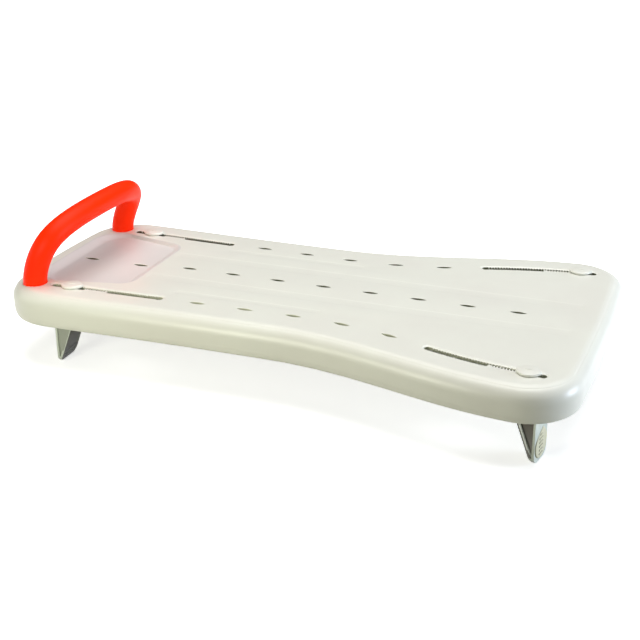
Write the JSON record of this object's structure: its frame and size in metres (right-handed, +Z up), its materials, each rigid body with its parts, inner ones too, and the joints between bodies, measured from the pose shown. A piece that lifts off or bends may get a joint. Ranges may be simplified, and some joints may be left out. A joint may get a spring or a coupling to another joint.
{
  "type": "bath board",
  "caption": "Moulded board laid across a bath's rims to sit on while washing, with a soap tray, a grab handle and sliding, latched legs that grip the bath's inner walls.",
  "frame": {"origin": "on the plane of the legs' feet, below the middle of the board's length and width", "axes": "+X along the board towards its wide free end, away from the handle; +Y across the board; +Z up, out of the deck's seating side"},
  "size_m": [0.695, 0.3742, 0.1766],
  "materials": {
    "deck_plastic": "satin off-white moulded plastic",
    "handle_plastic": "satin orange-red moulded plastic",
    "bolt_steel": "stainless steel",
    "washer_steel": "stainless steel",
    "leg_plastic": "pale grey-green moulded plastic",
    "pad_rubber": "matt warm beige elastomer",
    "key_plastic": "grey moulded plastic",
    "cap_plastic": "satin off-white moulded plastic",
    "spring_steel": "stainless spring wire"
  },
  "bodies": {
    "board": {"deck": "deck_plastic", "handle": "handle_plastic", "handle_bolt_near": "bolt_steel", "handle_bolt_far": "bolt_steel", "handle_washer_near": "washer_steel", "handle_washer_far": "washer_steel"},
    "near_left_leg": {"leg_near_left": "leg_plastic", "pad_near_left": "pad_rubber", "latch_spring_near_left": "spring_steel"},
    "far_left_leg": {"leg_far_left": "leg_plastic", "pad_far_left": "pad_rubber", "latch_spring_far_left": "spring_steel"},
    "near_right_leg": {"leg_near_right": "leg_plastic", "pad_near_right": "pad_rubber", "latch_spring_near_right": "spring_steel"},
    "far_right_leg": {"leg_far_right": "leg_plastic", "pad_far_right": "pad_rubber", "latch_spring_far_right": "spring_steel"},
    "near_left_latch": {"latch_key_near_left": "key_plastic", "knob_cap_near_left": "cap_plastic"},
    "far_left_latch": {"latch_key_far_left": "key_plastic", "knob_cap_far_left": "cap_plastic"},
    "near_right_latch": {"latch_key_near_right": "key_plastic", "knob_cap_near_right": "cap_plastic"},
    "far_right_latch": {"latch_key_far_right": "key_plastic", "knob_cap_far_right": "cap_plastic"}
  },
  "joints": [
    {"name": "near_left_leg_slide", "type": "slide", "parent": "board", "child": "near_left_leg", "axis": [-0.9995, -0.0302, 0], "range_m": [-0.0693, 0.0198]},
    {"name": "far_left_leg_slide", "type": "slide", "parent": "board", "child": "far_left_leg", "axis": [-0.9995, 0.0302, 0], "range_m": [-0.0693, 0.0198]},
    {"name": "near_right_leg_slide", "type": "hinge", "parent": "board", "child": "near_right_leg", "pos_m": [0.34184, 0.37261, 0.093], "axis": [0, 0, 1], "range_deg": [-7.63, 1.45]},
    {"name": "far_right_leg_slide", "type": "hinge", "parent": "board", "child": "far_right_leg", "pos_m": [0.34184, -0.37261, 0.093], "axis": [0, 0, -1], "range_deg": [-7.63, 1.45]},
    {"name": "near_left_latch_lift", "type": "slide", "parent": "near_left_leg", "child": "near_left_latch", "axis": [0, 0, 1], "range_m": [0, 0.003], "stiffness_N_per_m": 600, "springref_m": 0.006, "deforming": ["latch_spring_near_left"]},
    {"name": "far_left_latch_lift", "type": "slide", "parent": "far_left_leg", "child": "far_left_latch", "axis": [0, 0, 1], "range_m": [0, 0.003], "stiffness_N_per_m": 600, "springref_m": 0.006, "deforming": ["latch_spring_far_left"]},
    {"name": "near_right_latch_lift", "type": "slide", "parent": "near_right_leg", "child": "near_right_latch", "axis": [0, 0, 1], "range_m": [0, 0.003], "stiffness_N_per_m": 600, "springref_m": 0.006, "deforming": ["latch_spring_near_right"]},
    {"name": "far_right_latch_lift", "type": "slide", "parent": "far_right_leg", "child": "far_right_latch", "axis": [0, 0, 1], "range_m": [0, 0.003], "stiffness_N_per_m": 600, "springref_m": 0.006, "deforming": ["latch_spring_far_right"]}
  ]
}
